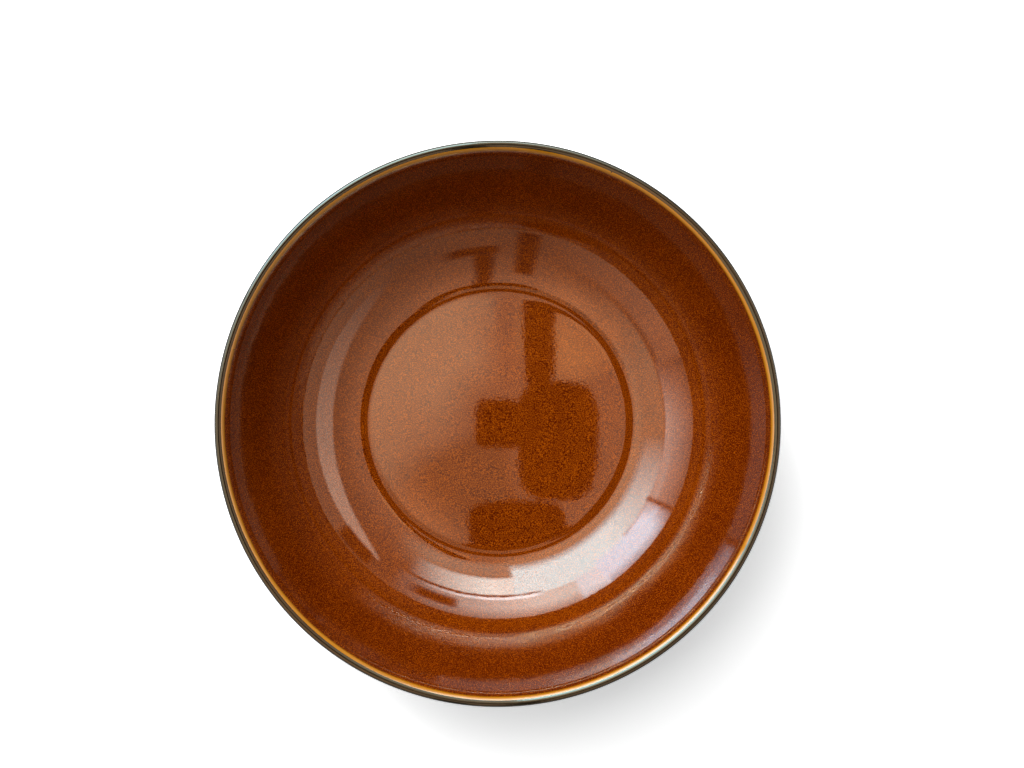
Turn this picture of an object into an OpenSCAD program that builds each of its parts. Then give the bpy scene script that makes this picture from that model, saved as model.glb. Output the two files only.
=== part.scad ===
// Round stoneware salad bowl: a pressed clay body under three fused coats of glaze.
// Each piece is a revolved section, and all the sections follow one chain of tangent arcs.

/* [Bowl] */
// Diameter over the lip
rim_d = 240; // [214:1:270]
// Height from the table to the crest of the lip
height = 68; // [62:0.5:78]
// Radius of the lip from its crest to the inside
lip_in_r = 3.4; // [2.4:0.1:5]
// Radius of the easing between the inside of the wall and the lip
lip_ease_r = 18; // [8:1:30]
// Slope at which that easing passes into the lip
lip_turn_deg = 47; // [42:1:54]
// Radius of the lip from its crest to the outside
lip_out_r = 1.4; // [1:0.1:2.5]
// Thickness of the floor and of the bend above the foot, glaze included
floor_t = 6; // [4:0.1:9]

/* [Inside form] */
// Diameter of the lowest line of the inside, the ring round the floor
floor_ring_d = 115; // [108:1:122]
// Rise of the middle of the floor above that ring
floor_rise = 2.2; // [0.6:0.1:3]
// Radius of the round from that ring up to the bend, as a share of the run from the ring out to the rim
ring_round_share = 0.448; // [0.32:0.008:0.56]
// Slope at which that round passes into the bend
ring_turn_deg = 23; // [18:1:30]
// Radius of the bend from there to the wall, as a share of the same run
bend_share = 1.024; // [0.76:0.008:1.16]
// Radius of the gently curved wall above the bend
wall_r = 240; // [150:5:500]

/* [Foot ring] */
// Outer diameter of the foot ring
foot_d = 122; // [100:1:135]
// Width of the foot ring
foot_w = 7; // [5:0.5:12]
// Height of the foot ring below the bend
foot_h = 6; // [5:0.5:10]
// Radius of the fillets where the foot ring meets the bowl
foot_fillet_r = 2; // [1:0.25:3]
// Radius of the lower edges of the foot ring
foot_edge_r = 1.2; // [0.8:0.1:2]

/* [Glaze] */
// Thickness of each coat of glaze
glaze_t = 0.5; // [0.2:0.05:0.7]
// Height of the foot ring that is wiped bare of glaze
bare_h = 2.2; // [2:0.1:3]
// Angle on the lip from its crest inwards to the line where the two coats meet
seam_deg = 28; // [5:1:40]

/* [Hidden] */
// Largest distance between an arc of the section and its chords
chord_tol = 0.02;
// Steps round the axis
$fn = 180;

// An arc is [centre, radius, first angle, last angle, side].
// side is 1 where the clay lies outside the arc's circle and -1 where it lies inside.
HOLLOW = 1;
ROUND = -1;

function dir(deg) = [cos(deg), sin(deg)];
function angle_of(v) = atan2(v[1], v[0]);
function arc_steps(arc) = ceil(abs(arc[3] - arc[2]) / (2 * acos(1 - chord_tol / arc[1])));
// Point of an arc at one angle, moved into the clay by depth
function arc_point(arc, deg, depth) = arc[0] + (arc[1] + arc[4] * depth) * dir(deg);
// Points along a run of arcs that join tangentially, moved into the clay by depth
function arc_run(arcs, depth) = [
    arc_point(arcs[0], arcs[0][2], depth),
    for (arc = arcs, step = [1:arc_steps(arc)])
        arc_point(arc, arc[2] + (arc[3] - arc[2]) * step / arc_steps(arc), depth)
];
function reversed(points) = [for (k = [len(points) - 1:-1:0]) points[k]];
function without_first(points) = [for (k = [1:len(points) - 1]) points[k]];

floor_ring_r = floor_ring_d / 2;
rim_run = rim_d / 2 - floor_ring_r;
ring_round_r = ring_round_share * rim_run;
bend_r = bend_share * rim_run;
foot_r = foot_d / 2;
recess_r = foot_r - foot_w;

// The floor is a shallow dome, tangent to the round that rings it
dome_deg = 2 * atan(floor_rise / floor_ring_r);
dome_r = floor_ring_r / sin(dome_deg) - ring_round_r;
dome_c = [0, foot_h + floor_t + floor_rise - dome_r];
recess_dome_r = dome_r - floor_t;

// The round passes into a wider bend, and the outside follows both at the thickness of the floor
ring_c = [floor_ring_r, foot_h + floor_t + ring_round_r];
ring_end_deg = ring_turn_deg - 90;
bend_c = ring_c + (ring_round_r - bend_r) * dir(ring_end_deg);
out_ring_r = ring_round_r + floor_t;
out_bend_r = bend_r + floor_t;

// The lip's two rounds meet at its crest, and a wider easing leads into the inner one
crest_r = rim_d / 2 - lip_out_r;
lip_in_c = [crest_r, height - lip_in_r];
lip_out_c = [crest_r, height - lip_out_r];
lip_seam_deg = 90 + seam_deg;
lip_ease_deg = 90 + lip_turn_deg;
lip_ease_c = lip_in_c - (lip_ease_r - lip_in_r) * dir(lip_ease_deg);

// The inside of the wall is tangent to the bend and to the easing below the lip
to_ease = lip_ease_c - bend_c;
ease_dist = norm(to_ease);
wall_shift = wall_r - bend_r;
wall_turn_deg = acos(
    (pow(ease_dist, 2) + pow(wall_shift, 2) - pow(wall_r + lip_ease_r, 2))
    / (2 * ease_dist * wall_shift)
);
wall_start_deg = angle_of(to_ease) + wall_turn_deg - 180;
wall_c = bend_c - wall_shift * dir(wall_start_deg);
wall_end_deg = angle_of(lip_ease_c - wall_c);

// The outside of the wall leaves its bend at the same angle, so the wall thins evenly to the lip
to_lip_out = lip_out_c - bend_c;
out_reach = out_bend_r - lip_out_r;
out_shift = (to_lip_out * to_lip_out - pow(out_reach, 2))
    / (2 * (out_reach - to_lip_out * dir(wall_start_deg)));
out_wall_r = out_bend_r + out_shift;
out_wall_c = bend_c - out_shift * dir(wall_start_deg);
out_wall_end_deg = angle_of(lip_out_c - out_wall_c);

// Fillets of the foot ring, tangent to its upright walls and to the bowl
out_fillet_x = foot_r + foot_fillet_r;
out_fillet_c = [
    out_fillet_x,
    ring_c[1] - sqrt(pow(out_ring_r + foot_fillet_r, 2) - pow(out_fillet_x - ring_c[0], 2))
];
out_fillet_deg = angle_of(out_fillet_c - ring_c);
recess_fillet_x = recess_r - foot_fillet_r;
recess_fillet_c = [
    recess_fillet_x,
    dome_c[1] + sqrt(pow(recess_dome_r - foot_fillet_r, 2) - pow(recess_fillet_x, 2))
];
recess_fillet_deg = angle_of(recess_fillet_c - dome_c);

inside_arcs = [
    [dome_c, dome_r, 90, 90 - dome_deg, ROUND],
    [ring_c, ring_round_r, -90 - dome_deg, ring_end_deg, HOLLOW],
    [bend_c, bend_r, ring_end_deg, wall_start_deg, HOLLOW],
    [wall_c, wall_r, wall_start_deg, wall_end_deg, HOLLOW],
    [lip_ease_c, lip_ease_r, wall_end_deg + 180, lip_ease_deg, ROUND],
    [lip_in_c, lip_in_r, lip_ease_deg, lip_seam_deg, ROUND]
];
outside_arcs = [
    [lip_in_c, lip_in_r, lip_seam_deg, 90, ROUND],
    [lip_out_c, lip_out_r, 90, out_wall_end_deg, ROUND],
    [out_wall_c, out_wall_r, out_wall_end_deg, wall_start_deg, ROUND],
    [bend_c, out_bend_r, wall_start_deg, ring_end_deg, ROUND],
    [ring_c, out_ring_r, ring_end_deg, out_fillet_deg, ROUND],
    [out_fillet_c, foot_fillet_r, out_fillet_deg + 180, 180, HOLLOW]
];
recess_arcs = [
    [recess_fillet_c, foot_fillet_r, 0, recess_fillet_deg, HOLLOW],
    [dome_c, recess_dome_r, recess_fillet_deg, 90, HOLLOW]
];
foot_out_edge = [[foot_r - foot_edge_r, foot_edge_r], foot_edge_r, 0, -90, ROUND];
foot_in_edge = [[recess_r + foot_edge_r, foot_edge_r], foot_edge_r, -90, -180, ROUND];

// Lines of the section that the coats follow, at a depth below the surface of the glaze
function inside_line(depth) = arc_run(inside_arcs, depth);
function outside_line(depth) = concat(arc_run(outside_arcs, depth), [[foot_r - depth, bare_h]]);
function recess_line(depth) = concat([[recess_r + depth, bare_h]], arc_run(recess_arcs, depth));

// One coat of glaze: the skin between a surface line and the clay under it
module coat(surface_line, clay_line)
    rotate_extrude() polygon(concat(surface_line, reversed(clay_line)));

// Fired clay: floor, wall, core of the lip and the foot ring with its bare underside
module stoneware_body() {
    color("#c8b08c") rotate_extrude() polygon(concat(
        inside_line(glaze_t),
        without_first(outside_line(glaze_t)),
        [[foot_r, bare_h]],
        arc_run([foot_out_edge], 0),
        arc_run([foot_in_edge], 0),
        [[recess_r, bare_h]],
        recess_line(glaze_t)
    ));
}

// Amber-brown gloss coat, from the floor up to the seam on the lip
module inside_glaze() {
    color("#883805") coat(inside_line(0), inside_line(glaze_t));
}

// Dark satin coat, from the seam over the lip and down to the foot ring
module outside_glaze() {
    color("#2a2922") coat(outside_line(0), outside_line(glaze_t));
}

// Dark satin coat of the recess inside the foot ring
module foot_recess_glaze() {
    color("#2a2922") coat(recess_line(0), recess_line(glaze_t));
}

stoneware_body();
inside_glaze();
outside_glaze();
foot_recess_glaze();
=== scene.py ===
"""Round stoneware salad bowl: glazed coats modelled over the packed clay body, in a pale studio."""

import logging
import math
from dataclasses import dataclass
from enum import Enum
from typing import Any, NamedTuple, Optional, Sequence

import bmesh
import bpy
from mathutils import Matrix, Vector, noise


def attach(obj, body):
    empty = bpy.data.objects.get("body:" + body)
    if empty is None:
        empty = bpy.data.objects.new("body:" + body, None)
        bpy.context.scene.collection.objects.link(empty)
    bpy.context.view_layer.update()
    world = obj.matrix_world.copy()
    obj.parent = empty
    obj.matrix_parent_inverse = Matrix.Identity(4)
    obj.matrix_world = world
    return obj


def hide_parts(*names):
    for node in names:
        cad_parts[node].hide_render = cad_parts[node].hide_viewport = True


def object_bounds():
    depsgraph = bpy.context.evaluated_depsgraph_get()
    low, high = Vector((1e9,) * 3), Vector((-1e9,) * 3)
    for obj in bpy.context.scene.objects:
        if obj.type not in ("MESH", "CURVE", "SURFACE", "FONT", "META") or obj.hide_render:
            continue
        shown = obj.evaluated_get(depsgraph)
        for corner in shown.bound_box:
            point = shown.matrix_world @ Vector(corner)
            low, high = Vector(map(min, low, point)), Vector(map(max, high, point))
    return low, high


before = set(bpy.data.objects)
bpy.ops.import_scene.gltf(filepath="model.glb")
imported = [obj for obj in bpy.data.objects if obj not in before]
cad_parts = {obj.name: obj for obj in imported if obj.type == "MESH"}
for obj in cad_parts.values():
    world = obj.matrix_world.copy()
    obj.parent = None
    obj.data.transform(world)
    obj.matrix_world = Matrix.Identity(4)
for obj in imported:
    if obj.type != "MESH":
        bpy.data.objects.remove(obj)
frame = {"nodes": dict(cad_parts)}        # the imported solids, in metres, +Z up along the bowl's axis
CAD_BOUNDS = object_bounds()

LOG = logging.getLogger("salad_bowl")
BODY = "root"

# Sockets of a colour Mix node, which share their names with its other kinds
MIX_FACTOR = 0
MIX_A = 6
MIX_B = 7
MIX_RESULT = 2

Point = tuple[float, float]
Colour = tuple[float, float, float, float]


def linear(hex_colour: str) -> Colour:
    """Turns an sRGB hex colour into linear light.

    Args:
        hex_colour: Colour as "#rrggbb".

    Returns:
        Linear red, green and blue from 0 to 1, with an alpha of 1.
    """
    channels = [int(hex_colour[k:k + 2], 16) / 255.0 for k in (1, 3, 5)]
    lit = [c / 12.92 if c <= 0.04045 else ((c + 0.055) / 1.055) ** 2.4 for c in channels]
    return (lit[0], lit[1], lit[2], 1.0)


def mm(length: float) -> float:
    """Turns millimetres into metres."""
    return length / 1000.0


def per_metre(size_mm: float) -> float:
    """Gives the texture scale at which a pattern's features are size_mm across."""
    return 1000.0 / size_mm


def add_node(
    tree: bpy.types.NodeTree, kind: str, inputs: Optional[dict] = None, **settings: Any
) -> bpy.types.Node:
    """Adds one node with its settings and links.

    Args:
        tree: Node tree that gets the node.
        kind: Blender's type name of the node.
        inputs: Socket name or number to a value, or to an output socket to link from.
        **settings: Properties of the node, or stops of a colour ramp as (place, hex colour) pairs.

    Returns:
        The new node.
    """
    node = tree.nodes.new(kind)
    for name, value in settings.items():
        if name == "stops":
            ramp = node.color_ramp.elements
            while len(ramp) < len(value):
                ramp.new(1.0)
            for stop, (place, hex_colour) in zip(ramp, value):
                stop.position = place
                stop.color = linear(hex_colour)
        else:
            setattr(node, name, value)
    for key, value in (inputs or {}).items():
        if isinstance(value, bpy.types.NodeSocket):
            tree.links.new(value, node.inputs[key])
        else:
            node.inputs[key].default_value = value
    return node


def seen_or_mirrored(tree: bpy.types.NodeTree) -> bpy.types.NodeSocket:
    """Tells camera, mirrored and refracted rays from those that carry light.

    Args:
        tree: Node tree of the floor or the world.

    Returns:
        Socket that is 1 for a ray that is seen, straight or in a mirror, and 0 for the others.
    """
    path = add_node(tree, "ShaderNodeLightPath").outputs
    mirrored = add_node(tree, "ShaderNodeMath", {
        0: path["Is Glossy Ray"], 1: path["Is Transmission Ray"],
    }, operation="MAXIMUM")
    seen = add_node(tree, "ShaderNodeMath", {
        0: mirrored.outputs["Value"], 1: path["Is Camera Ray"],
    }, operation="MAXIMUM")
    return seen.outputs["Value"]


def direction(deg: float) -> Point:
    """Gives the unit vector at an angle, as radius and height."""
    return (math.cos(math.radians(deg)), math.sin(math.radians(deg)))


def ahead(start: Point, deg: float, distance: float) -> Point:
    """Gives the point at a distance from start, in a direction given in degrees."""
    along_r, along_z = direction(deg)
    return (start[0] + distance * along_r, start[1] + distance * along_z)


def angle_between(start: Point, end: Point) -> float:
    """Gives the angle in degrees of the line from start to end."""
    return math.degrees(math.atan2(end[1] - start[1], end[0] - start[0]))


class Curl(Enum):
    """Side of an arc's circle on which the clay lies."""

    HOLLOW = 1.0
    ROUND = -1.0


class SkinPoint(NamedTuple):
    """Point of the section in millimetres, with the direction out of the clay there."""

    r: float
    z: float
    out_r: float
    out_z: float


@dataclass(frozen=True)
class Arc:
    """Arc of the section, in millimetres and degrees."""

    centre: Point
    radius: float
    first: float
    last: float
    curl: Curl

    def points(self, depth: float, step: float, sag: float) -> list[SkinPoint]:
        """Lists points along the arc.

        Args:
            depth: Distance below the glaze's surface.
            step: Longest distance between two points.
            sag: Largest distance between the arc and its chords.

        Returns:
            Points from the first angle to the last, both included.
        """
        radius = self.radius + self.curl.value * depth
        turn = abs(self.last - self.first)
        by_sag = turn / math.degrees(2.0 * math.acos(1.0 - min(sag / radius, 0.5)))
        by_step = math.radians(turn) * radius / step
        count = max(2, math.ceil(max(by_sag, by_step)))
        found = []
        for k in range(count + 1):
            along_r, along_z = direction(self.first + (self.last - self.first) * k / count)
            found.append(SkinPoint(
                max(0.0, self.centre[0] + radius * along_r),
                self.centre[1] + radius * along_z,
                -self.curl.value * along_r,
                -self.curl.value * along_z,
            ))
        return found


@dataclass
class BowlSection:
    """Section of the bowl as one chain of tangent arcs, in millimetres.

    The clay and the coats all follow it: a line of the section is taken at a depth below the glaze.
    """

    # Bowl and lip
    rim_r: float
    height: float
    lip_in_r: float = 3.4
    lip_ease_r: float = 18.0
    lip_turn_deg: float = 47.0
    lip_out_r: float = 1.4
    floor_t: float = 6.0
    # Inside form, from the ring round the floor up to the wall
    floor_ring_r: float = 57.5
    floor_rise: float = 2.2
    ring_round_r: float = 28.0
    ring_turn_deg: float = 23.0
    bend_r: float = 64.0
    wall_r: float = 240.0
    # Foot ring
    foot_r: float = 61.0
    foot_w: float = 7.0
    foot_h: float = 6.0
    foot_fillet_r: float = 2.0
    # Glaze, with the roll of its edge above the bare strip of the foot ring
    glaze_t: float = 0.5
    glaze_roll_r: float = 0.35
    bare_h: float = 2.2
    seam_deg: float = 28.0

    def __post_init__(self) -> None:
        """Works out the arcs from the sizes."""
        # The floor is a shallow dome, tangent to the round that rings it
        dome_deg = 2.0 * math.degrees(math.atan(self.floor_rise / self.floor_ring_r))
        dome_r = self.floor_ring_r / math.sin(math.radians(dome_deg)) - self.ring_round_r
        ring_z = self.foot_h + self.floor_t
        dome_c = (0.0, ring_z + self.floor_rise - dome_r)
        ring_c = (self.floor_ring_r, ring_z + self.ring_round_r)
        ring_end = self.ring_turn_deg - 90.0
        bend_c = ahead(ring_c, ring_end, self.ring_round_r - self.bend_r)

        # The lip's two rounds meet at its crest, and a wider easing leads into the inner one
        crest_r = self.rim_r - self.lip_out_r
        lip_in_c = (crest_r, self.height - self.lip_in_r)
        lip_out_c = (crest_r, self.height - self.lip_out_r)
        seam = 90.0 + self.seam_deg
        ease_end = 90.0 + self.lip_turn_deg
        ease_c = ahead(lip_in_c, ease_end, self.lip_in_r - self.lip_ease_r)

        # The inside of the wall is tangent to the bend and to the easing
        reach = math.dist(bend_c, ease_c)
        shift = self.wall_r - self.bend_r
        turn = math.degrees(math.acos(
            (reach ** 2 + shift ** 2 - (self.wall_r + self.lip_ease_r) ** 2) / (2.0 * reach * shift)
        ))
        wall_start = angle_between(bend_c, ease_c) + turn - 180.0
        wall_c = ahead(bend_c, wall_start, -shift)
        wall_end = angle_between(wall_c, ease_c)

        # The outside of the wall leaves its bend at the same angle, so the wall thins evenly to the lip
        out_ring_r = self.ring_round_r + self.floor_t
        out_bend_r = self.bend_r + self.floor_t
        out_reach = out_bend_r - self.lip_out_r
        slope = direction(wall_start)
        to_lip = (lip_out_c[0] - bend_c[0], lip_out_c[1] - bend_c[1])
        along = to_lip[0] * slope[0] + to_lip[1] * slope[1]
        out_shift = (to_lip[0] ** 2 + to_lip[1] ** 2 - out_reach ** 2) / (2.0 * (out_reach - along))
        out_wall_c = ahead(bend_c, wall_start, -out_shift)
        out_wall_end = angle_between(out_wall_c, lip_out_c)

        # Fillets of the foot ring, tangent to its upright walls and to the bowl
        fillet = self.foot_fillet_r
        out_x = self.foot_r + fillet
        drop = math.sqrt((out_ring_r + fillet) ** 2 - (out_x - ring_c[0]) ** 2)
        out_fillet_c = (out_x, ring_c[1] - drop)
        out_fillet = angle_between(ring_c, out_fillet_c)
        recess_r = self.foot_r - self.foot_w
        recess_dome_r = dome_r - self.floor_t
        recess_x = recess_r - fillet
        recess_rise = math.sqrt((recess_dome_r - fillet) ** 2 - recess_x ** 2)
        recess_fillet_c = (recess_x, dome_c[1] + recess_rise)
        recess_fillet = angle_between(dome_c, recess_fillet_c)
        roll = self.glaze_roll_r
        roll_z = self.bare_h + roll

        self.inside_arcs = [
            Arc(dome_c, dome_r, 90.0, 90.0 - dome_deg, Curl.ROUND),
            Arc(ring_c, self.ring_round_r, -90.0 - dome_deg, ring_end, Curl.HOLLOW),
            Arc(bend_c, self.bend_r, ring_end, wall_start, Curl.HOLLOW),
            Arc(wall_c, self.wall_r, wall_start, wall_end, Curl.HOLLOW),
            Arc(ease_c, self.lip_ease_r, wall_end + 180.0, ease_end, Curl.ROUND),
            Arc(lip_in_c, self.lip_in_r, ease_end, seam, Curl.ROUND),
        ]
        self.outside_arcs = [
            Arc(lip_in_c, self.lip_in_r, seam, 90.0, Curl.ROUND),
            Arc(lip_out_c, self.lip_out_r, 90.0, out_wall_end, Curl.ROUND),
            Arc(out_wall_c, out_bend_r + out_shift, out_wall_end, wall_start, Curl.ROUND),
            Arc(bend_c, out_bend_r, wall_start, ring_end, Curl.ROUND),
            Arc(ring_c, out_ring_r, ring_end, out_fillet, Curl.ROUND),
            Arc(out_fillet_c, fillet, out_fillet + 180.0, 180.0, Curl.HOLLOW),
        ]
        self.outside_edge = Arc((self.foot_r - roll, roll_z), roll, 0.0, -90.0, Curl.ROUND)
        self.recess_arcs = [
            Arc(recess_fillet_c, fillet, 0.0, recess_fillet, Curl.HOLLOW),
            Arc(dome_c, recess_dome_r, recess_fillet, 90.0, Curl.HOLLOW),
        ]
        self.recess_edge = Arc((recess_r + roll, roll_z), roll, -90.0, -180.0, Curl.ROUND)
        self.out_foot = SkinPoint(self.foot_r - self.glaze_t, self.bare_h, 1.0, 0.0)
        self.in_foot = SkinPoint(recess_r + self.glaze_t, self.bare_h, -1.0, 0.0)
        self.lip_turn_r = ahead(lip_in_c, ease_end, self.lip_in_r)[0]


class Coat(Enum):
    """Coats of glaze, named as their nodes are."""

    INSIDE = "inside_glaze"
    OUTSIDE = "outside_glaze"
    RECESS = "foot_recess_glaze"


@dataclass(frozen=True)
class Swell:
    """Slow rise and fall that the melted glaze sets with, in millimetres."""

    long_wave: float = 26.0
    long_height: float = 0.03
    short_wave: float = 8.0
    short_height: float = 0.005

    def depth(self, place: Vector) -> float:
        """Works out how far the glaze lies below its nominal surface.

        Args:
            place: Point of the surface in millimetres.

        Returns:
            Depth in millimetres, never negative, so that no size grows.
        """
        slow = noise.noise(place / self.long_wave)
        quick = noise.noise(place / self.short_wave)
        level = self.long_height * slow + self.short_height * quick
        return max(0.0, self.long_height + self.short_height - level)


@dataclass(frozen=True)
class Lathe:
    """Turns a line of the section round the axis into a closed, smooth mesh."""

    steps: int = 480
    axis_r: float = 1e-6
    sharp_deg: float = 35.0

    def turn(self, name: str, line: Sequence[SkinPoint], swell: Swell, skin: int) -> bpy.types.Object:
        """Builds the mesh.

        Args:
            name: Name of the new object.
            line: Closed line of the section, from the surface round to the clay under it.
            swell: Rise and fall of the surface.
            skin: Number of points at the start of the line that are the surface.

        Returns:
            The new object, in metres, linked to the scene.
        """
        turns = [2.0 * math.pi * k / self.steps for k in range(self.steps)]
        vertices: list[Vector] = []
        rings: list[list[int]] = []
        for number, point in enumerate(line):
            at_axis = point.r < self.axis_r
            ring = []
            for turn in ([0.0] if at_axis else turns):
                across = Vector((math.cos(turn), math.sin(turn), 0.0))
                place = across * point.r + Vector((0.0, 0.0, point.z))
                if number < skin:
                    out = across * (0.0 if at_axis else point.out_r) + Vector((0.0, 0.0, point.out_z))
                    place -= out * swell.depth(place)
                ring.append(len(vertices))
                vertices.append(place * mm(1.0))
            rings.append(ring)
        faces = []
        for ring, following in zip(rings, rings[1:] + rings[:1]):
            faces.extend(self.band(ring, following))
        mesh = bpy.data.meshes.new(name)
        mesh.from_pydata(vertices, [], faces)
        self.face_outwards(mesh)
        mesh.shade_smooth()
        mesh.set_sharp_from_angle(angle=math.radians(self.sharp_deg))
        piece = bpy.data.objects.new(name, mesh)
        bpy.context.scene.collection.objects.link(piece)
        return piece

    def band(self, ring: list[int], following: list[int]) -> list[tuple[int, ...]]:
        """Joins two neighbouring rings, either of which may be one point on the axis.

        Args:
            ring: Vertex numbers of the first ring.
            following: Vertex numbers of the next ring.

        Returns:
            Faces between them.
        """
        if len(ring) == 1 and len(following) == 1:
            return []
        faces = []
        for k in range(self.steps):
            after = (k + 1) % self.steps
            if len(ring) == 1:
                faces.append((ring[0], following[k], following[after]))
            elif len(following) == 1:
                faces.append((ring[k], following[0], ring[after]))
            else:
                faces.append((ring[k], following[k], following[after], ring[after]))
        return faces

    def face_outwards(self, mesh: bpy.types.Mesh) -> None:
        """Turns every face of a closed mesh outwards.

        Args:
            mesh: The mesh, changed in place.
        """
        working = bmesh.new()
        working.from_mesh(mesh)
        bmesh.ops.recalc_face_normals(working, faces=working.faces)
        working.to_mesh(mesh)
        working.free()


class Finish:
    """Finish of one surface: a named material with a node tree."""

    name: str = "finish"

    def material(self) -> bpy.types.Material:
        """Makes the material and paints it.

        Returns:
            The new material.
        """
        made = bpy.data.materials.new(self.name)
        made.use_nodes = True
        tree = made.node_tree
        tree.nodes.clear()
        add_node(tree, "ShaderNodeOutputMaterial", {"Surface": self.paint(tree)})
        return made

    def paint(self, tree: bpy.types.NodeTree) -> bpy.types.NodeSocket:
        """Adds the colour, gloss and relief, and gives the shader; each finish has its own."""
        raise NotImplementedError


@dataclass(frozen=True)
class AmberGlossGlaze(Finish):
    """Iron amber glaze, poured and fired to a glassy coat.

    Glass over brown clay: a warm brown with grains of iron in it, sharp mirror-like highlights with slightly
    ragged edges, painted light and shade that makes the brown lighter on the floor and bend and darker up the
    wall, and a paler amber line where it runs thin over the lip.
    """

    lip_turn_r: float
    name: str = "amber_iron_gloss_glaze"
    dark_grain: str = "#581700"
    body: str = "#7e2c03"
    light_grain: str = "#d46608"
    thin_edge: str = "#ee9a16"
    pinhole: str = "#2c1206"
    dark_at: float = 0.43
    body_at: float = 0.54
    light_at: float = 0.65
    # About a pixel of the render, because the finer grains between would not show
    grain_mm: float = 0.4
    cloud_mm: float = 22.0
    cloud_tone: float = 0.08
    # Painted light and shade: the brown is lifted on the floor and bend and darkened up the wall, by radius
    bend_painted_light: float = 0.01
    bend_r_mm: float = 88.0
    wall_painted_shade: float = -0.03
    wall_r_mm: float = 103.0
    pinhole_cell_mm: float = 12.0
    pinhole_r_mm: float = 0.4
    pinhole_core: float = 0.6
    smooth: float = 0.02
    smooth_at: float = 0.35
    grainy: float = 0.06
    grainy_at: float = 0.65
    ior: float = 1.7
    fine_ripple_mm: float = 1.3
    fine_ripple_h_mm: float = 0.006
    broad_ripple_mm: float = 6.0
    broad_ripple_h_mm: float = 0.008
    thin_band_mm: float = 0.8
    thin_wander_mm: float = 0.5

    def paint(self, tree: bpy.types.NodeTree) -> bpy.types.NodeSocket:
        """Adds grain, clouds, painted light and shade by radius, pinholes, the amber lip line and the ripple.

        Args:
            tree: Node tree of the material.

        Returns:
            Output of the finished shader.
        """
        place = add_node(tree, "ShaderNodeTexCoord").outputs["Object"]
        flat = add_node(tree, "ShaderNodeVectorMath", {0: place, 1: (1.0, 1.0, 0.0)}, operation="MULTIPLY")
        radius = add_node(tree, "ShaderNodeVectorMath", {0: flat.outputs["Vector"]}, operation="LENGTH")
        grain = add_node(tree, "ShaderNodeTexNoise", {
            "Vector": place, "Scale": per_metre(self.grain_mm), "Detail": 2.0, "Roughness": 0.6,
        })
        cloud = add_node(tree, "ShaderNodeTexNoise", {
            "Vector": place, "Scale": per_metre(self.cloud_mm), "Detail": 3.0, "Roughness": 0.5,
        })
        clouded = add_node(tree, "ShaderNodeMath", {
            0: cloud.outputs["Fac"], 1: self.cloud_tone, 2: grain.outputs["Fac"],
        }, operation="MULTIPLY_ADD")
        # Painted light and shade by radius: lighter up to the bend, darker on the upper wall
        coat = add_node(tree, "ShaderNodeMapRange", {
            "Value": radius.outputs["Value"], "From Min": mm(self.bend_r_mm), "From Max": mm(self.wall_r_mm),
            "To Min": self.bend_painted_light, "To Max": self.wall_painted_shade,
        }, interpolation_type="SMOOTHSTEP")
        shade = add_node(tree, "ShaderNodeMath", {
            0: clouded.outputs["Value"], 1: coat.outputs["Result"],
        }, operation="ADD")
        iron = add_node(tree, "ShaderNodeValToRGB", {"Fac": shade.outputs["Value"]}, stops=[
            (self.dark_at, self.dark_grain), (self.body_at, self.body), (self.light_at, self.light_grain),
        ])

        wander = add_node(tree, "ShaderNodeMath", {
            0: cloud.outputs["Fac"], 1: mm(self.thin_wander_mm), 2: radius.outputs["Value"],
        }, operation="MULTIPLY_ADD")
        thin_end = self.lip_turn_r + self.thin_wander_mm / 2.0
        thin = add_node(tree, "ShaderNodeMapRange", {
            "Value": wander.outputs["Value"],
            "From Min": mm(thin_end - self.thin_band_mm), "From Max": mm(thin_end),
        }, interpolation_type="SMOOTHSTEP")
        lip = add_node(tree, "ShaderNodeMix", {
            MIX_FACTOR: thin.outputs["Result"], MIX_A: iron.outputs["Color"], MIX_B: linear(self.thin_edge),
        }, data_type="RGBA")

        cells = add_node(tree, "ShaderNodeTexVoronoi", {
            "Vector": place, "Scale": per_metre(self.pinhole_cell_mm),
        })
        hole = add_node(tree, "ShaderNodeMapRange", {
            "Value": cells.outputs["Distance"],
            "From Min": self.pinhole_r_mm / self.pinhole_cell_mm,
            "From Max": self.pinhole_core * self.pinhole_r_mm / self.pinhole_cell_mm,
        })
        colour = add_node(tree, "ShaderNodeMix", {
            MIX_FACTOR: hole.outputs["Result"], MIX_A: lip.outputs[MIX_RESULT], MIX_B: linear(self.pinhole),
        }, data_type="RGBA")

        fine = add_node(tree, "ShaderNodeTexNoise", {
            "Vector": place, "Scale": per_metre(self.fine_ripple_mm), "Detail": 1.0,
        })
        broad = add_node(tree, "ShaderNodeTexNoise", {
            "Vector": place, "Scale": per_metre(self.broad_ripple_mm), "Detail": 1.0,
        })
        fine_bump = add_node(tree, "ShaderNodeBump", {
            "Height": fine.outputs["Fac"], "Distance": mm(self.fine_ripple_h_mm),
        })
        bump = add_node(tree, "ShaderNodeBump", {
            "Height": broad.outputs["Fac"], "Distance": mm(self.broad_ripple_h_mm),
            "Normal": fine_bump.outputs["Normal"],
        })
        gloss = add_node(tree, "ShaderNodeMapRange", {
            "Value": grain.outputs["Fac"], "From Min": self.smooth_at, "From Max": self.grainy_at,
            "To Min": self.smooth, "To Max": self.grainy,
        })
        surface = add_node(tree, "ShaderNodeBsdfPrincipled", {
            "Base Color": colour.outputs[MIX_RESULT], "Roughness": gloss.outputs["Result"],
            "Normal": bump.outputs["Normal"], "IOR": self.ior,
        })
        return surface.outputs["BSDF"]


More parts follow.
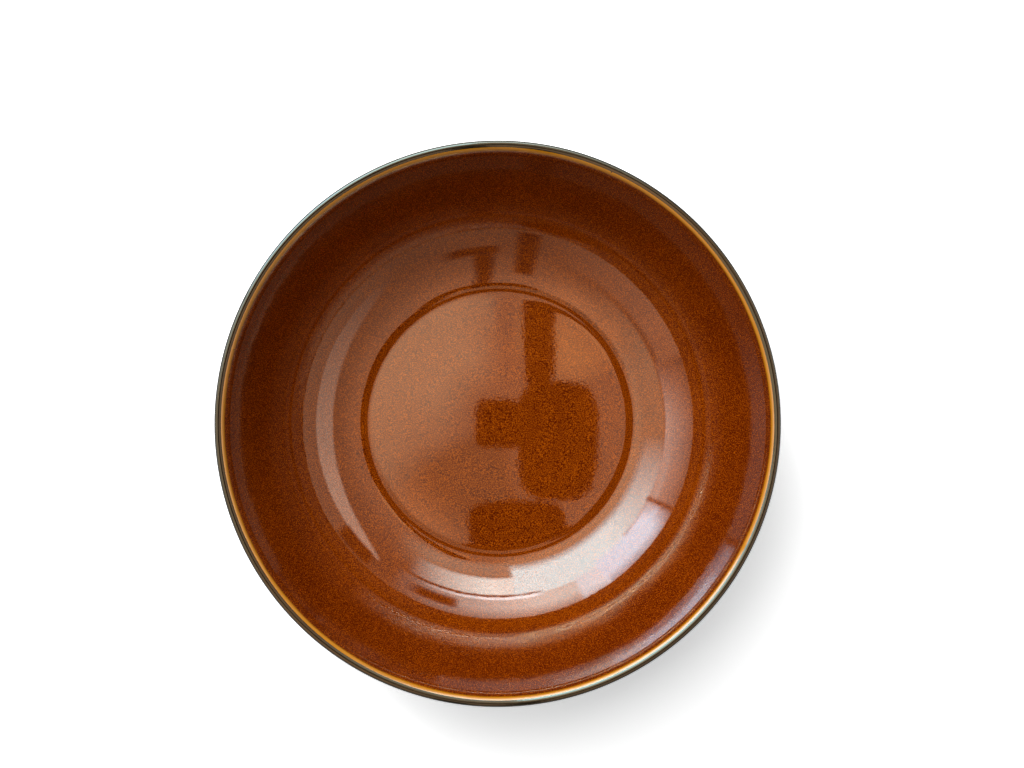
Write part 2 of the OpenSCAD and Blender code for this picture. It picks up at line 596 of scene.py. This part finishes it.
@dataclass(frozen=True)
class DarkSatinGlaze(Finish):
    """Dark iron glaze, dipped and fired to a satin coat.

    Close to black with a green-grey cast and fine lighter grains. It shines more on the lip, where it runs
    into the gloss glaze, and softens to a satin sheen down the wall.
    """

    height: float
    name: str = "dark_iron_satin_glaze"
    dark_grain: str = "#0a0a08"
    body: str = "#12120e"
    light_grain: str = "#2e2c1b"
    shine: str = "#e8f4ee"
    dark_at: float = 0.42
    body_at: float = 0.60
    light_at: float = 0.80
    # Coarser than the real grain, which is too fine to show in the render
    grain_mm: float = 0.8
    cloud_mm: float = 18.0
    cloud_tone: float = 0.2
    lip_roughness: float = 0.06
    wall_roughness: float = 0.3
    lip_band_mm: float = 9.0
    lip_crest_mm: float = 1.0
    ior: float = 1.75
    ripple_mm: float = 1.6
    ripple_h_mm: float = 0.012

    def paint(self, tree: bpy.types.NodeTree) -> bpy.types.NodeSocket:
        """Adds the grain, clouds, the shinier lip and the ripple of the glaze.

        Args:
            tree: Node tree of the material.

        Returns:
            Output of the finished shader.
        """
        place = add_node(tree, "ShaderNodeTexCoord").outputs["Object"]
        grain = add_node(tree, "ShaderNodeTexNoise", {
            "Vector": place, "Scale": per_metre(self.grain_mm), "Detail": 2.0, "Roughness": 0.65,
        })
        cloud = add_node(tree, "ShaderNodeTexNoise", {
            "Vector": place, "Scale": per_metre(self.cloud_mm), "Detail": 3.0,
        })
        shade = add_node(tree, "ShaderNodeMath", {
            0: cloud.outputs["Fac"], 1: self.cloud_tone, 2: grain.outputs["Fac"],
        }, operation="MULTIPLY_ADD")
        iron = add_node(tree, "ShaderNodeValToRGB", {"Fac": shade.outputs["Value"]}, stops=[
            (self.dark_at, self.dark_grain), (self.body_at, self.body), (self.light_at, self.light_grain),
        ])
        axes = add_node(tree, "ShaderNodeSeparateXYZ", {"Vector": place})
        gloss = add_node(tree, "ShaderNodeMapRange", {
            "Value": axes.outputs["Z"],
            "From Min": mm(self.height - self.lip_band_mm), "From Max": mm(self.height - self.lip_crest_mm),
            "To Min": self.wall_roughness, "To Max": self.lip_roughness,
        }, interpolation_type="SMOOTHSTEP")
        ripple = add_node(tree, "ShaderNodeTexNoise", {
            "Vector": place, "Scale": per_metre(self.ripple_mm), "Detail": 2.0,
        })
        bump = add_node(tree, "ShaderNodeBump", {
            "Height": ripple.outputs["Fac"], "Distance": mm(self.ripple_h_mm),
        })
        surface = add_node(tree, "ShaderNodeBsdfPrincipled", {
            "Base Color": iron.outputs["Color"], "Roughness": gloss.outputs["Result"],
            "Normal": bump.outputs["Normal"], "IOR": self.ior, "Specular Tint": linear(self.shine),
        })
        return surface.outputs["BSDF"]


@dataclass(frozen=True)
class BareStoneware(Finish):
    """Buff stoneware clay, fired and wiped clean on the foot ring.

    Dry, matt and warm sand-coloured, with fine dark grog and a slightly gritty face.
    """

    name: str = "fired_buff_stoneware"
    dark_grain: str = "#9a7f5c"
    body: str = "#c8b08c"
    light_grain: str = "#d9c6a6"
    grog: str = "#6b5238"
    dark_at: float = 0.30
    body_at: float = 0.50
    light_at: float = 0.72
    # Coarser than the real sand, which is too fine to show in the render
    grain_mm: float = 0.6
    grog_mm: float = 2.2
    grog_r_mm: float = 0.3
    grog_core: float = 0.5
    roughness: float = 0.82
    relief_mm: float = 0.05

    def paint(self, tree: bpy.types.NodeTree) -> bpy.types.NodeSocket:
        """Adds the sandy grain, the dark grog and the gritty relief.

        Args:
            tree: Node tree of the material.

        Returns:
            Output of the finished shader.
        """
        place = add_node(tree, "ShaderNodeTexCoord").outputs["Object"]
        grain = add_node(tree, "ShaderNodeTexNoise", {
            "Vector": place, "Scale": per_metre(self.grain_mm), "Detail": 4.0, "Roughness": 0.7,
        })
        sand = add_node(tree, "ShaderNodeValToRGB", {"Fac": grain.outputs["Fac"]}, stops=[
            (self.dark_at, self.dark_grain), (self.body_at, self.body), (self.light_at, self.light_grain),
        ])
        cells = add_node(tree, "ShaderNodeTexVoronoi", {"Vector": place, "Scale": per_metre(self.grog_mm)})
        speck = add_node(tree, "ShaderNodeMapRange", {
            "Value": cells.outputs["Distance"],
            "From Min": self.grog_r_mm / self.grog_mm,
            "From Max": self.grog_core * self.grog_r_mm / self.grog_mm,
        })
        colour = add_node(tree, "ShaderNodeMix", {
            MIX_FACTOR: speck.outputs["Result"], MIX_A: sand.outputs["Color"], MIX_B: linear(self.grog),
        }, data_type="RGBA")
        bump = add_node(tree, "ShaderNodeBump", {
            "Height": grain.outputs["Fac"], "Distance": mm(self.relief_mm),
        })
        surface = add_node(tree, "ShaderNodeBsdfPrincipled", {
            "Base Color": colour.outputs[MIX_RESULT], "Roughness": self.roughness,
            "Normal": bump.outputs["Normal"],
        })
        return surface.outputs["BSDF"]


@dataclass(frozen=True)
class PaleFloor(Finish):
    """White paper sweep: matt, and exposed for the camera so that only the shadow next to the bowl shows."""

    name: str = "white_paper_sweep"
    paper: str = "#f4f4f4"
    exposure: float = 2.3
    glow: float = 0.57

    def paint(self, tree: bpy.types.NodeTree) -> bpy.types.NodeSocket:
        """Adds the paper's white, the exposure of the camera and the glow that mirrored rays get too.

        Args:
            tree: Node tree of the material.

        Returns:
            Output of the finished shader.
        """
        camera = add_node(tree, "ShaderNodeLightPath").outputs["Is Camera Ray"]
        exposure = add_node(tree, "ShaderNodeMapRange", {
            "Value": camera, "To Min": 1.0, "To Max": self.exposure,
        })
        white = add_node(tree, "ShaderNodeVectorMath", {
            0: linear(self.paper)[:3], "Scale": exposure.outputs["Result"],
        }, operation="SCALE")
        matt = add_node(tree, "ShaderNodeBsdfDiffuse", {"Color": white.outputs["Vector"]})
        seen = seen_or_mirrored(tree)
        glow = add_node(tree, "ShaderNodeMath", {0: seen, 1: self.glow}, operation="MULTIPLY")
        lit = add_node(tree, "ShaderNodeEmission", {"Strength": glow.outputs["Value"]})
        surface = add_node(tree, "ShaderNodeAddShader", {0: matt.outputs["BSDF"], 1: lit.outputs["Emission"]})
        return surface.outputs["Shader"]


@dataclass(frozen=True)
class BlackCard(Finish):
    """Black felt on a card, which keeps a dark shape in the mirror of the glaze."""

    name: str = "black_felt_card"
    felt: str = "#050505"

    def paint(self, tree: bpy.types.NodeTree) -> bpy.types.NodeSocket:
        """Makes the felt dark and without shine."""
        surface = add_node(tree, "ShaderNodeBsdfPrincipled", {
            "Base Color": linear(self.felt), "Roughness": 1.0, "Specular IOR Level": 0.0,
        })
        return surface.outputs["BSDF"]


@dataclass(frozen=True)
class GlowingScrim(Finish):
    """White scrim lit from behind: an even glow with the tint of the room, and soft edges.

    Gain is the factor by which the glow changes with each further mirroring, and deep tint is its tint then.
    Both are set scrim by scrim, and belong to this studio alone: no finish of the bowl has them.
    """

    tint: str
    deep_tint: str
    level: float
    edge: str
    gain: float
    name: str = "glowing_scrim"

    def paint(self, tree: bpy.types.NodeTree) -> bpy.types.NodeSocket:
        """Adds the glow for mirrored rays, and lets it fade at the edges.

        Args:
            tree: Node tree of the material.

        Returns:
            Output of the finished shader.
        """
        path = add_node(tree, "ShaderNodeLightPath").outputs
        further = add_node(tree, "ShaderNodeMath", {0: path["Glossy Depth"], 1: 1.0}, operation="SUBTRACT")
        growth = add_node(tree, "ShaderNodeMath", {
            0: self.gain, 1: further.outputs["Value"],
        }, operation="POWER")
        level = add_node(tree, "ShaderNodeMath", {
            0: growth.outputs["Value"], 1: self.level,
        }, operation="MULTIPLY")
        straight = add_node(tree, "ShaderNodeMath", {0: path["Diffuse Depth"], 1: 0.5}, operation="LESS_THAN")
        strength = add_node(tree, "ShaderNodeMath", {
            0: level.outputs["Value"], 1: straight.outputs["Value"],
        }, operation="MULTIPLY")
        tint = add_node(tree, "ShaderNodeMix", {
            MIX_FACTOR: further.outputs["Value"], MIX_A: linear(self.tint), MIX_B: linear(self.deep_tint),
        }, data_type="RGBA")
        glow = add_node(tree, "ShaderNodeEmission", {
            "Color": tint.outputs[MIX_RESULT], "Strength": strength.outputs["Value"],
        })
        clear = add_node(tree, "ShaderNodeBsdfTransparent")
        edge = add_node(tree, "ShaderNodeAttribute", attribute_name=self.edge)
        mixed = add_node(tree, "ShaderNodeMixShader", {
            0: edge.outputs["Fac"], 1: clear.outputs["BSDF"], 2: glow.outputs["Emission"],
        })
        return mixed.outputs["Shader"]


@dataclass
class Bowl:
    """The bowl: clay body from the frame, and three coats of glaze modelled over it."""

    section: BowlSection
    lathe: Lathe
    swell: Swell
    skin_step: float = 1.5
    skin_sag: float = 0.002
    clay_step: float = 6.0
    clay_sag: float = 0.02

    def line(self, arcs: Sequence[Arc], on_skin: bool) -> list[SkinPoint]:
        """Follows a run of tangent arcs, on the glaze's surface or on the clay under it.

        Args:
            arcs: Arcs in order, each starting where the last ended.
            on_skin: True for the surface, False for the clay.

        Returns:
            Points along the run, each once.
        """
        depth = 0.0 if on_skin else self.section.glaze_t
        step = self.skin_step if on_skin else self.clay_step
        sag = self.skin_sag if on_skin else self.clay_sag
        found: list[SkinPoint] = []
        for arc in arcs:
            found.extend(arc.points(depth, step, sag)[1 if found else 0:])
        return found

    def coat_lines(self, coat: Coat) -> tuple[list[SkinPoint], list[SkinPoint]]:
        """Gives the surface line of a coat and the clay line under it.

        Args:
            coat: Coat of glaze.

        Returns:
            Both lines, in the same direction along the section.
        """
        cut = self.section
        if coat is Coat.INSIDE:
            return self.line(cut.inside_arcs, True), self.line(cut.inside_arcs, False)
        if coat is Coat.OUTSIDE:
            skin = self.line([*cut.outside_arcs, cut.outside_edge], True)
            return skin, [*self.line(cut.outside_arcs, False), cut.out_foot]
        skin = self.line([cut.recess_edge, *cut.recess_arcs], True)
        return skin, [cut.in_foot, *self.line(cut.recess_arcs, False)]

    def build_coat(self, coat: Coat, finish: Finish) -> bpy.types.Object:
        """Models one coat, dresses it and puts it in its node's place.

        Args:
            coat: Coat of glaze.
            finish: Its finish.

        Returns:
            The new piece.
        """
        skin, clay = self.coat_lines(coat)
        piece = self.lathe.turn(coat.value + "_coat", [*skin, *reversed(clay)], self.swell, len(skin))
        piece.data.materials.append(finish.material())
        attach(piece, BODY)
        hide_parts(coat.value)
        LOG.info("%s: %d faces", piece.name, len(piece.data.polygons))
        return piece

    def dress_body(self, node: bpy.types.Object, finish: Finish) -> None:
        """Gives the packed clay body its finish.

        Args:
            node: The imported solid.
            finish: Finish of the bare clay.
        """
        node.data.materials.clear()
        node.data.materials.append(finish.material())
        LOG.info("%s: dressed as %s", node.name, finish.name)

    def build(self, nodes: dict[str, bpy.types.Object]) -> None:
        """Builds and dresses every piece of the bowl.

        Args:
            nodes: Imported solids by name.
        """
        amber = AmberGlossGlaze(self.section.lip_turn_r)
        dark = DarkSatinGlaze(self.section.height)
        self.dress_body(nodes["stoneware_body"], BareStoneware())
        self.build_coat(Coat.INSIDE, amber)
        self.build_coat(Coat.OUTSIDE, dark)
        self.build_coat(Coat.RECESS, dark)


def towards(bearing: float, zenith: float) -> Vector:
    """Gives the direction at a bearing and a zenith.

    Args:
        bearing: Degrees from +X, counter-clockwise seen from above.
        zenith: Degrees down from straight up.

    Returns:
        The unit vector.
    """
    flat_x, flat_y = direction(bearing)
    up, across = direction(zenith)
    return Vector((across * flat_x, across * flat_y, up))


def only_mirrored(shape: bpy.types.Object) -> None:
    """Hides a shape of the studio from all but mirrored rays.

    Args:
        shape: Scrim or card.
    """
    shape.visible_camera = False
    shape.visible_diffuse = False
    shape.visible_shadow = False


@dataclass(frozen=True)
class SoftLight:
    """Flat soft light that lights every surface evenly; the scrims are what the gloss mirrors.

    Bearing is counter-clockwise from +X seen from above, zenith is down from straight up.
    """

    name: str
    bearing: float
    zenith: float
    distance: float
    width: float
    height: float
    radiance: float

    def place(self, target: Vector) -> None:
        """Hangs the light and aims it.

        Args:
            target: Point that it is aimed at.
        """
        away = towards(self.bearing, self.zenith)
        lamp = bpy.data.lights.new(self.name, "AREA")
        lamp.shape = "RECTANGLE"
        lamp.size = self.width
        lamp.size_y = self.height
        lamp.energy = self.radiance * math.pi * self.width * self.height
        hung = bpy.data.objects.new(self.name, lamp)
        hung.location = target + away * self.distance
        hung.rotation_euler = (-away).to_track_quat("-Z", "Y").to_euler()
        hung.visible_camera = False
        hung.visible_glossy = False
        bpy.context.scene.collection.objects.link(hung)
        LOG.info("light %s: radiance %.1f", hung.name, self.radiance)


@dataclass(frozen=True)
class Scrim:
    """Glowing scrim that only the gloss mirrors: a patch of a dome round the bowl.

    Bearings and zeniths are in degrees, as for the soft lights. Soft is the width of each fading edge: at the
    first and last bearing, then at the first and last zenith. Gain and deep tint are those of the glow.
    Arch is how far the first zenith falls off towards both ends, as a round arch does.
    """

    name: str
    bearings: tuple[float, float]
    zeniths: tuple[float, float]
    level: float
    tint: str
    soft: tuple[float, float, float, float] = (1.5, 1.5, 1.5, 1.5)
    deep_tint: Optional[str] = None
    gain: float = 2.1
    arch: float = 0.0
    step: float = 1.5
    edge: str = "edge"

    def cover(self, bearing: float, zenith: float) -> float:
        """Works out how solid the scrim is at a place.

        Args:
            bearing: Bearing of the place.
            zenith: Zenith of the place.

        Returns:
            From 0 at the rim of a soft edge to 1 inside.
        """
        first, last = self.bearings
        off_middle = min(1.0, abs(2.0 * bearing - first - last) / (last - first))
        top = self.zeniths[0] + self.arch * (1.0 - math.sqrt(1.0 - off_middle ** 2))
        inwards = (bearing - first, last - bearing, zenith - top, self.zeniths[1] - zenith)
        solid = 1.0
        for distance, width in zip(inwards, self.soft):
            solid *= max(0.0, min(1.0, distance / width)) if width > 0.0 else 1.0
        return solid

    def hang(self, target: Vector, dome_r: float) -> None:
        """Hangs the scrim on the dome.

        Args:
            target: Middle of the dome.
            dome_r: Radius of the dome in metres.
        """
        columns = math.ceil((self.bearings[1] - self.bearings[0]) / self.step)
        rows = math.ceil((self.zeniths[1] - self.zeniths[0]) / self.step)
        points = []
        covers = []
        for row in range(rows + 1):
            zenith = self.zeniths[0] + (self.zeniths[1] - self.zeniths[0]) * row / rows
            for column in range(columns + 1):
                bearing = self.bearings[0] + (self.bearings[1] - self.bearings[0]) * column / columns
                points.append(target + dome_r * towards(bearing, zenith))
                covers.append(self.cover(bearing, zenith))
        faces = []
        for row in range(rows):
            for column in range(columns):
                first = row * (columns + 1) + column
                below = first + columns + 1
                faces.append((first, first + 1, below + 1, below))
        name = self.name + "_scrim"
        mesh = bpy.data.meshes.new(name)
        mesh.from_pydata(points, [], faces)
        mesh.attributes.new(self.edge, "FLOAT", "POINT").data.foreach_set("value", covers)
        finish = GlowingScrim(self.tint, self.deep_tint or self.tint, self.level, self.edge, self.gain)
        glow = finish.material()
        glow.cycles.emission_sampling = "NONE"
        mesh.materials.append(glow)
        hung = bpy.data.objects.new(name, mesh)
        only_mirrored(hung)
        bpy.context.scene.collection.objects.link(hung)


@dataclass(frozen=True)
class DarkShape:
    """Black card with round corners over the bowl, given by its middle and its half sizes in metres."""

    name: str
    x: float
    y: float
    half_x: float
    half_y: float

    def hang(self, felt: bpy.types.Material, card_z: float, edges: int) -> None:
        """Hangs the card.

        Args:
            felt: Its finish.
            card_z: Its height in metres.
            edges: Number of straight edges round it.
        """
        outline = []
        for k in range(edges):
            round_x, round_y = direction(360.0 * k / edges)
            square_x = math.copysign(math.sqrt(abs(round_x)), round_x)
            square_y = math.copysign(math.sqrt(abs(round_y)), round_y)
            outline.append((self.x + self.half_x * square_x, self.y + self.half_y * square_y, card_z))
        mesh = bpy.data.meshes.new(self.name)
        mesh.from_pydata(outline, [], [tuple(range(edges))])
        mesh.materials.append(felt)
        hung = bpy.data.objects.new(self.name, mesh)
        only_mirrored(hung)
        bpy.context.scene.collection.objects.link(hung)


@dataclass
class Studio:
    """Pale sweep, soft lights, glowing scrims, black cards and the even light of the room."""

    target: Vector
    floor_size: float = 14.0
    floor_drop: float = 0.0001
    dome_r: float = 1.75
    dome_gap: float = 0.02
    card_z: float = 1.45
    card_edges: int = 40
    room_light: float = 0.02
    lights: tuple[SoftLight, ...] = (
        SoftLight("key_softbox", 121.0, 28.0, 1.7, 1.50, 1.50, 2.45),
        SoftLight("window_softbox", 122.0, 55.0, 2.0, 1.00, 1.25, 4.4),
    )
    # Listed from the nearest to the farthest, because they overlap
    scrims: tuple[Scrim, ...] = (
        Scrim("horizon", (0.0, 360.0), (83.0, 92.0), 0.15, "#ffe0c8", (0.0, 0.0, 1.0, 0.0), step=6.0),
        Scrim("notch", (152.6, 155.4), (50.5, 81.0), 0.2, "#ffc8a0", (0.8, 0.8, 2.0, 3.0)),
        Scrim("low_window", (124.5, 154.0), (64.4, 82.0), 10.4, "#ddf0ff", (0.8, 7.0, 0.6, 14.0), gain=0.6),
        Scrim("window_end", (143.0, 154.0), (59.0, 66.0), 10.4, "#ddf0ff", (6.0, 7.0, 2.0, 0.1), gain=0.6),
        Scrim("window", (124.5, 154.0), (51.5, 66.0), 10.4, "#ddf0ff", (0.8, 7.0, 4.0, 0.1), gain=2.4),
        Scrim("low_pane", (116.2, 127.0), (64.4, 82.0), 8.8, "#f2fbff", (0.8, 0.5, 0.6, 14.0), gain=0.6),
        Scrim("pane", (116.2, 127.0), (56.0, 82.0), 8.8, "#f2fbff", (0.8, 0.5, 2.0, 14.0), gain=2.4),
        Scrim("far_window", (138.0, 203.0), (51.5, 82.0), 3.8, "#ffeada", (0.5, 22.0, 1.5, 30.0), gain=0.9),
        Scrim("dark_sash", (61.0, 106.0), (55.9, 58.3), 0.1, "#ffc8a0", (4.0, 3.0, 0.4, 0.4)),
        Scrim("bright_sash", (64.0, 106.0), (57.8, 61.0), 11.5, "#ffffff", (24.0, 3.0, 0.4, 0.8)),
        Scrim("side_notch", (59.0, 78.5), (62.5, 73.0), 0.1, "#ffc8a0", (6.0, 2.0, 2.0, 2.0)),
        Scrim("side_streak", (100.0, 119.0), (59.0, 65.8), 6.8, "#fffdf2", (14.0, 0.5, 1.0, 1.0)),
        Scrim("side", (55.0, 119.0), (57.8, 82.0), 6.8, "#fffdf2", (50.0, 0.5, 0.8, 14.0), gain=0.6),
        Scrim("key", (95.0, 176.0), (17.0, 60.0), 10.3, "#e4faf9", (0.8, 42.0, 15.0, 1.0), "#fff2c8"),
        Scrim("key_wing", (58.0, 97.0), (40.5, 57.0), 9.7, "#f6fbf2", (28.0, 0.5, 2.5, 1.0), "#fff2c8"),
        Scrim("post", (-90.0, -81.0), (7.0, 57.0), 0.1, "#ffc8a0", (2.0, 2.0, 3.0, 3.0)),
        Scrim("post_foot", (-92.0, -71.0), (53.5, 62.5), 0.1, "#ffc8a0", (3.0, 5.0, 2.0, 2.0)),
        Scrim("far_post", (-104.5, -95.5), (30.0, 77.0), 0.1, "#ffc8a0", (2.0, 2.0, 8.0, 2.0)),
        Scrim("right_notch", (33.5, 48.0), (63.0, 77.0), 0.1, "#ffc8a0", (1.5, 1.5, 2.0, 2.0)),
        Scrim(
            "right_wall", (-56.0, 49.5), (50.0, 66.0), 3.6, "#ffdabf", (80.0, 1.0, 1.5, 1.0),
            gain=0.4, arch=16.0,
        ),
        Scrim("right_table", (-60.0, 34.0), (65.0, 80.0), 1.2, "#ffc8a0", (40.0, 1.0, 1.0, 3.0)),
        Scrim("left_wall", (-160.0, -106.0), (54.0, 80.0), 1.7, "#ffc39c", (2.0, 40.0, 4.0, 3.0), gain=0.5),
        Scrim("wing_streak", (60.0, 97.0), (13.0, 42.0), 2.6, "#ffe2c0", (32.0, 0.5, 10.0, 8.0), gain=3.8),
        Scrim("wing_glow", (48.0, 97.0), (13.0, 54.0), 2.6, "#ffe2c0", (16.0, 0.5, 10.0, 20.0)),
        Scrim("amber_glow", (20.0, 86.0), (6.0, 13.0), 3.4, "#ffb47a", (16.0, 14.0, 2.0, 2.0), gain=0.9),
        Scrim("dim_ceiling", (196.0, 290.0), (1.0, 14.0), 0.95, "#ffca97", (20.0, 20.0, 3.0, 4.0), gain=0.9),
        Scrim("left_glow", (205.0, 258.0), (8.0, 52.0), 2.9, "#ffb886", (16.0, 18.0, 4.0, 34.0), gain=0.9),
        Scrim("streak_glow", (82.0, 176.0), (12.0, 24.0), 3.2, "#ffd0a4", (24.0, 24.0, 4.0, 8.0), gain=2.8),
        Scrim("glow", (90.0, 222.0), (3.0, 24.0), 3.2, "#ffd0a4", (28.0, 60.0, 4.0, 10.0), gain=0.9),
        Scrim("haze", (95.0, 236.0), (8.0, 52.5), 2.1, "#ffd6ac", (1.0, 34.0, 4.0, 2.0), gain=0.9),
        Scrim("ceiling", (0.0, 360.0), (0.0, 60.0), 1.6, "#ffc297", (0.0, 0.0, 0.0, 34.0), gain=0.9),
        Scrim("room", (0.0, 360.0), (0.0, 84.0), 0.7, "#ffc69a", (0.0, 0.0, 0.0, 0.0), gain=0.9, step=6.0),
    )
    cards: tuple[DarkShape, ...] = (
        DarkShape("main_card", 0.144, -0.059, 0.108, 0.158),
        DarkShape("middle_card", -0.011, -0.015, 0.066, 0.068),
        DarkShape("stand_card", 0.097, 0.228, 0.044, 0.140),
        DarkShape("lower_card", 0.039, -0.291, 0.131, 0.072),
    )

    def lay_floor(self) -> None:
        """Lays the pale floor just under the foot ring."""
        half = self.floor_size / 2.0
        corners = [(-half, -half), (half, -half), (half, half), (-half, half)]
        mesh = bpy.data.meshes.new("floor")
        mesh.from_pydata([(x, y, -self.floor_drop) for x, y in corners], [], [(0, 1, 2, 3)])
        mesh.materials.append(PaleFloor().material())
        floor = bpy.data.objects.new("floor", mesh)
        bpy.context.scene.collection.objects.link(floor)

    def light_room(self) -> None:
        """Sets the even light of the room, which seen and mirrored rays meet as white."""
        world = bpy.data.worlds.new("pale_room")
        bpy.context.scene.world = world
        world.use_nodes = True
        tree = world.node_tree
        tree.nodes.clear()
        seen = seen_or_mirrored(tree)
        level = add_node(tree, "ShaderNodeMapRange", {
            "Value": seen, "To Min": self.room_light, "To Max": 1.0,
        })
        sky = add_node(tree, "ShaderNodeBackground", {
            "Color": (1.0, 1.0, 1.0, 1.0), "Strength": level.outputs["Result"],
        })
        add_node(tree, "ShaderNodeOutputWorld", {"Surface": sky.outputs["Background"]})

    def build(self) -> None:
        """Builds the whole studio."""
        self.lay_floor()
        self.light_room()
        for light in self.lights:
            light.place(self.target)
        for number, scrim in enumerate(self.scrims):
            scrim.hang(self.target, self.dome_r + number * self.dome_gap)
        felt = BlackCard().material()
        for card in self.cards:
            card.hang(felt, self.card_z, self.card_edges)
        bpy.context.scene.view_settings.view_transform = "Standard"


@dataclass(frozen=True)
class PhotoCamera:
    """Camera that looks straight down, framed as the photograph is.

    The bowl's circle in the photograph gives the frame: its middle and radius in pixels. The camera stands
    over a point beside the bowl's axis, given in metres, and its lens is shifted to keep the frame.
    """

    image_w: float = 1024.0
    image_h: float = 768.0
    bowl_x: float = 497.6
    bowl_y: float = 423.8
    bowl_radius: float = 283.8
    stand_x: float = 0.012
    stand_y: float = 0.009
    distance: float = 1.2
    sensor_mm: float = 36.0

    def build(self, rim_r: float, rim_z: float) -> bpy.types.Object:
        """Makes the scene's camera.

        Args:
            rim_r: Radius of the rim in metres.
            rim_z: Height of the rim in metres.

        Returns:
            The camera object.
        """
        pixels_per_metre = self.bowl_radius / rim_r
        lens = bpy.data.cameras.new("photo_camera")
        lens.sensor_width = self.sensor_mm
        lens.lens = self.sensor_mm * self.distance * pixels_per_metre / self.image_w
        lens.shift_x = (self.image_w / 2.0 - self.bowl_x - self.stand_x * pixels_per_metre) / self.image_w
        lens.shift_y = (self.bowl_y - self.image_h / 2.0 - self.stand_y * pixels_per_metre) / self.image_w
        camera = bpy.data.objects.new("photo_camera", lens)
        camera.location = (self.stand_x, self.stand_y, rim_z + self.distance)
        bpy.context.scene.collection.objects.link(camera)
        bpy.context.scene.camera = camera
        return camera


def main() -> None:
    """Builds the camera, the bowl and the studio, in that order."""
    logging.basicConfig(level=logging.INFO, format="%(name)s: %(message)s")
    low, high = CAD_BOUNDS
    PhotoCamera().build(high[0], high[2])
    section = BowlSection(rim_r=high[0] * 1000.0, height=high[2] * 1000.0)
    Bowl(section, Lathe(), Swell()).build(frame["nodes"])
    Studio(target=Vector((0.0, 0.0, (low[2] + high[2]) / 2.0))).build()


if __name__ == "__main__":
    main()
